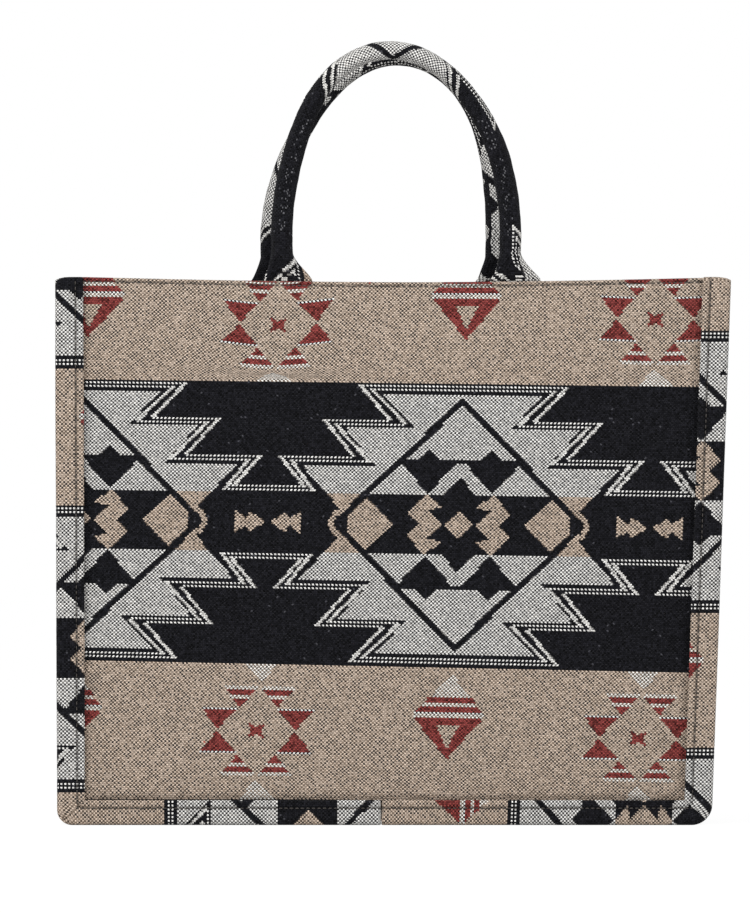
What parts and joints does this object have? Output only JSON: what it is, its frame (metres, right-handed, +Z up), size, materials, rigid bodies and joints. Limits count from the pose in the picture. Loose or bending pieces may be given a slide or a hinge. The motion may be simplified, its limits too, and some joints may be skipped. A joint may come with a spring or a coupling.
{
  "type": "handbag",
  "caption": "Structured open-top tote handbag in woven blanket cloth, framed panels, two rolled handles that swing at the top hem.",
  "frame": {"origin": "under the middle of the bag's box, on the surface it stands on", "axes": "+Z up, front panel faces -Y, +X to the right as seen from the front"},
  "size_m": [0.419, 0.165, 0.4861],
  "materials": {
    "blanket_cloth": "woolly jacquard, black, ivory, tan and red",
    "blanket_cloth_dark": "woolly jacquard, mostly black with ivory",
    "lining_cloth": "plain woven black lining",
    "fibre_board": "bonded leather fibre board, unseen",
    "filler_cord": "twisted cotton filler, unseen"
  },
  "bodies": {
    "bag": {"front_panel": "blanket_cloth", "back_panel": "blanket_cloth", "left_gusset": "blanket_cloth", "right_gusset": "blanket_cloth", "base_gusset_left": "blanket_cloth", "base_gusset_right": "blanket_cloth", "front_facing": "blanket_cloth", "back_facing": "blanket_cloth", "left_facing": "blanket_cloth", "right_facing": "blanket_cloth", "front_lining": "lining_cloth", "back_lining": "lining_cloth", "left_lining": "lining_cloth", "right_lining": "lining_cloth", "base_lining": "lining_cloth", "front_board": "fibre_board", "back_board": "fibre_board", "left_board": "fibre_board", "right_board": "fibre_board", "base_board": "fibre_board", "front_handle_left_foot": "blanket_cloth_dark", "front_handle_right_foot": "blanket_cloth_dark", "back_handle_left_foot": "blanket_cloth_dark", "back_handle_right_foot": "blanket_cloth_dark"},
    "front_handle_body": {"front_handle": "blanket_cloth_dark", "front_handle_cord": "filler_cord"},
    "back_handle_body": {"back_handle": "blanket_cloth_dark", "back_handle_cord": "filler_cord"}
  },
  "joints": [
    {"name": "front_handle_swing", "type": "hinge", "parent": "bag", "child": "front_handle_body", "pos_m": [0.0053, -0.0742, 0.346], "axis": [1, 0, 0], "range_deg": [-85, 100]},
    {"name": "back_handle_swing", "type": "hinge", "parent": "bag", "child": "back_handle_body", "pos_m": [-0.0037, 0.0742, 0.346], "axis": [1, 0, 0], "range_deg": [-100, 65]}
  ]
}
